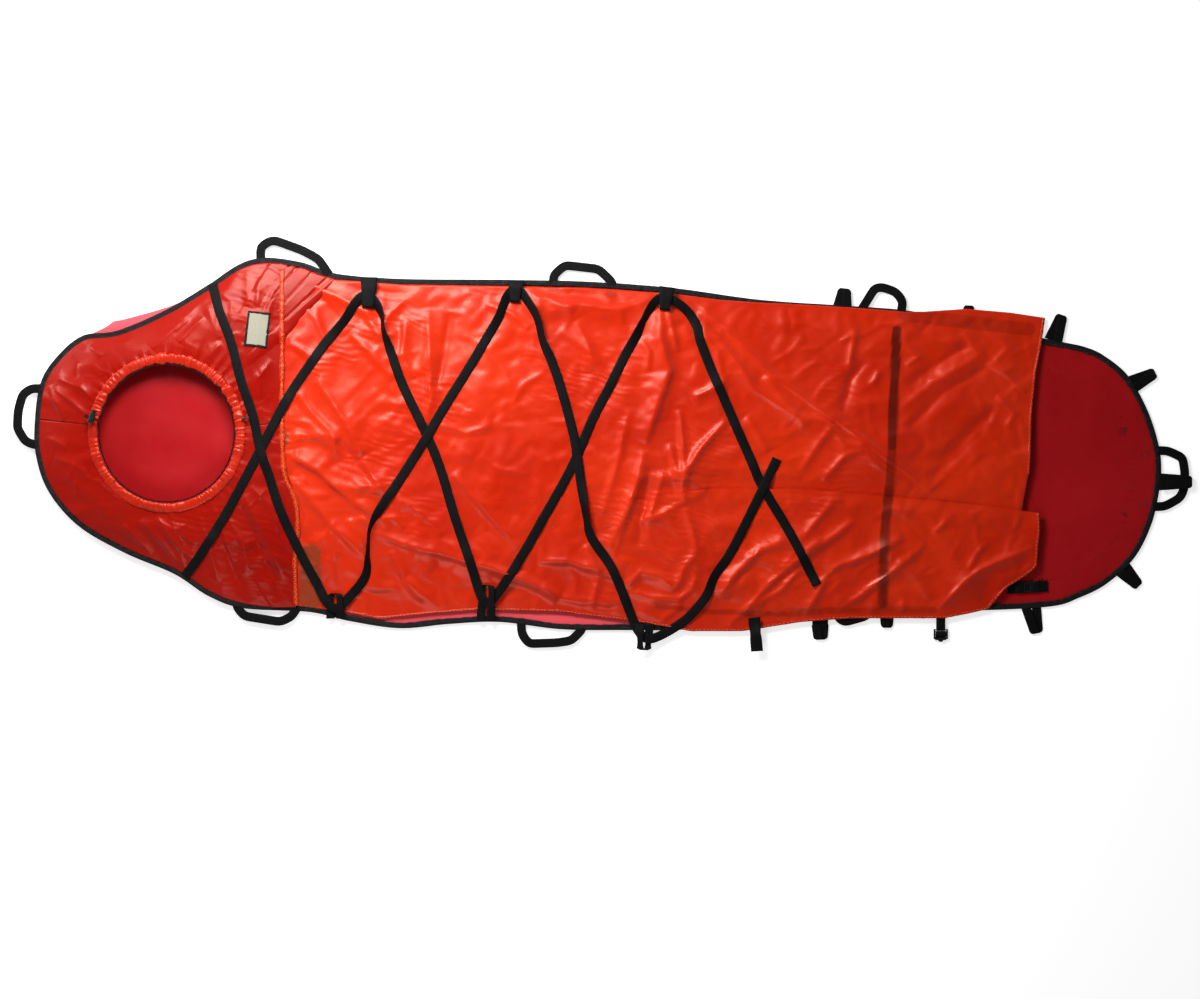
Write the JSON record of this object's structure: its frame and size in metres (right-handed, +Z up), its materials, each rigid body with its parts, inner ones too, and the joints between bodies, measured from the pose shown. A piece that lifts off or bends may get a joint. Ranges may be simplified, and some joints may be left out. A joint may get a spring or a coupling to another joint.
{
  "type": "rescue drag sled",
  "caption": "Soft red rescue drag sled lying flat, with a hooded face opening, lapped covers laced shut with black webbing, edge loops and carry handles.",
  "frame": {"origin": "on the underside of the flat base sheet, near the middle of the sled", "axes": "+X towards the foot end, +Y to the side on the casualty's right, +Z up"},
  "size_m": [2.4698, 0.8697, 0.0655],
  "materials": {
    "coated_base": "satin",
    "cover_cloth": "gloss",
    "binding_tape": "satin",
    "cord": "matte",
    "black_plastic": "gloss",
    "label_cloth": "matte",
    "patch_cloth": "matte",
    "thread": "matte",
    "black_webbing": "matte"
  },
  "bodies": {
    "sled": {"base_sheet": "coated_base", "binding_main": "binding_tape", "hood_far_panel": "cover_cloth", "hood_near_panel": "cover_cloth", "hood_hem": "cover_cloth", "far_flap": "cover_cloth", "near_flap": "cover_cloth", "face_casing": "cover_cloth", "drawcord": "cord", "cord_lock_barrel": "black_plastic", "cord_end_stop": "black_plastic", "lacing_strap_a": "black_webbing", "lacing_strap_b": "black_webbing", "lace_loops_far": "black_webbing", "lace_loops_near": "black_webbing", "loop_far_ankle": "black_webbing", "near_anchors": "black_webbing", "cross_strap": "black_webbing", "keeper_tab": "black_webbing", "label_patch": "label_cloth", "label_border": "black_webbing", "seam_patch": "patch_cloth", "side_patch": "patch_cloth"},
    "foot_end": {"foot_flap": "coated_base", "binding_foot": "binding_tape", "box_stitches": "thread"},
    "handle_head": {"handle_head": "black_webbing"},
    "handle_far_1": {"handle_far_1": "black_webbing"},
    "handle_far_2": {"handle_far_2": "black_webbing"},
    "handle_far_3": {"handle_far_3": "black_webbing"},
    "handle_near_1": {"handle_near_1": "black_webbing"},
    "handle_near_2": {"handle_near_2": "black_webbing"},
    "handle_near_3": {"handle_near_3": "black_webbing"},
    "handle_foot": {"handle_foot": "black_webbing", "foot_loop_end": "black_webbing"},
    "loop_far_shin": {"loop_far_shin": "black_webbing"},
    "loop_near_shin": {"loop_near_shin": "black_webbing"},
    "loop_near_ankle": {"loop_near_ankle": "black_webbing"},
    "foot_loop_far": {"foot_loop_far": "black_webbing"},
    "foot_loop_far_end": {"foot_loop_far_end": "black_webbing"},
    "foot_loop_near_end": {"foot_loop_near_end": "black_webbing"},
    "foot_loop_near": {"foot_loop_near": "black_webbing"},
    "ladder_lock_tab": {"ladder_lock_tab": "black_webbing"},
    "ladder_lock": {"ladder_lock": "black_plastic"},
    "hang_strap": {"hang_strap": "black_webbing"},
    "lock_button": {"cord_lock_plunger": "black_plastic"}
  },
  "joints": [
    {"name": "foot_end_fold", "type": "hinge", "parent": "sled", "child": "foot_end", "pos_m": [0.96337, -0.07245, 0.005], "axis": [-0.0513, -0.9987, 0], "range_deg": [0, 110]},
    {"name": "handle_head_swing", "type": "hinge", "parent": "sled", "child": "handle_head", "pos_m": [-1.18725, 0.04833, 0.01424], "axis": [0.0179, 0.9998, 0], "range_deg": [-6, 110]},
    {"name": "handle_far_1_swing", "type": "hinge", "parent": "sled", "child": "handle_far_1", "pos_m": [-0.64342, 0.37191, 0.01069], "axis": [0.9916, -0.1297, 0], "range_deg": [-5, 110]},
    {"name": "handle_far_2_swing", "type": "hinge", "parent": "sled", "child": "handle_far_2", "pos_m": [-0.0377, 0.33412, 0.00697], "axis": [0.9983, -0.0582, 0], "range_deg": [-5, 110]},
    {"name": "handle_far_3_swing", "type": "hinge", "parent": "sled", "child": "handle_far_3", "pos_m": [0.58604, 0.27742, 0.00816], "axis": [0.9969, -0.0793, 0], "range_deg": [-5, 110]},
    {"name": "handle_near_1_swing", "type": "hinge", "parent": "sled", "child": "handle_near_1", "pos_m": [-0.69526, -0.35407, 0.01254], "axis": [-0.9961, 0.0884, 0], "range_deg": [-6, 110]},
    {"name": "handle_near_2_swing", "type": "hinge", "parent": "sled", "child": "handle_near_2", "pos_m": [-0.10094, -0.39554, 0.007], "axis": [-0.9968, 0.0804, 0], "range_deg": [-6, 110]},
    {"name": "handle_near_3_swing", "type": "hinge", "parent": "sled", "child": "handle_near_3", "pos_m": [0.53452, -0.36352, 0.00668], "axis": [-0.9993, -0.0384, 0], "range_deg": [-6, 5]},
    {"name": "handle_foot_swing", "type": "hinge", "parent": "foot_end", "child": "handle_foot", "pos_m": [1.1757, -0.0819, 0.00565], "axis": [0, -1, 0], "range_deg": [-2, 110]},
    {"name": "loop_far_shin_swing", "type": "hinge", "parent": "sled", "child": "loop_far_shin", "pos_m": [0.50947, 0.28424, 0.00665], "axis": [0.9925, -0.1219, 0], "range_deg": [-4, 100]},
    {"name": "loop_near_shin_swing", "type": "hinge", "parent": "sled", "child": "loop_near_shin", "pos_m": [0.46206, -0.3945, 0.00667], "axis": [-0.9994, -0.0349, 0], "range_deg": [-6, 110]},
    {"name": "loop_near_ankle_swing", "type": "hinge", "parent": "sled", "child": "loop_near_ankle", "pos_m": [0.60165, -0.3798, 0.00659], "axis": [-1, 0, 0], "range_deg": [-6, 95]},
    {"name": "foot_loop_far_swing", "type": "hinge", "parent": "sled", "child": "foot_loop_far", "pos_m": [0.95399, 0.21485, 0.00273], "axis": [0.9455, -0.3256, 0], "range_deg": [-0.3, 85]},
    {"name": "foot_loop_far_end_swing", "type": "hinge", "parent": "foot_end", "child": "foot_loop_far_end", "pos_m": [1.12195, 0.11842, 0.0041], "axis": [0.454, -0.891, 0], "range_deg": [-0.2, 110]},
    {"name": "foot_loop_near_end_swing", "type": "hinge", "parent": "foot_end", "child": "foot_loop_near_end", "pos_m": [1.1027, -0.27639, 0.0026], "axis": [-0.7193, -0.6947, 0], "range_deg": [-0.2, 110]},
    {"name": "foot_loop_near_swing", "type": "hinge", "parent": "sled", "child": "foot_loop_near", "pos_m": [0.9061, -0.35645, 0.00484], "axis": [-0.9781, -0.2079, 0], "range_deg": [-0.5, 85]},
    {"name": "ladder_lock_tab_swing", "type": "hinge", "parent": "sled", "child": "ladder_lock_tab", "pos_m": [0.71505, -0.37875, 0.00594], "axis": [-1, 0, 0], "range_deg": [-4, 88]},
    {"name": "ladder_lock_turn", "type": "hinge", "parent": "ladder_lock_tab", "child": "ladder_lock", "pos_m": [0.71505, -0.39785, 0.00444], "axis": [-1, 0, 0], "range_deg": [-3, 60]},
    {"name": "hang_strap_swing", "type": "hinge", "parent": "sled", "child": "hang_strap", "pos_m": [0.3234, -0.3717, 0.0193], "axis": [-0.9976, -0.0698, 0], "range_deg": [-9, 100]},
    {"name": "lock_button_press", "type": "slide", "parent": "sled", "child": "lock_button", "axis": [-0.342, -0.9397, 0], "range_m": [0, 0.004], "stiffness_N_per_m": 250}
  ]
}
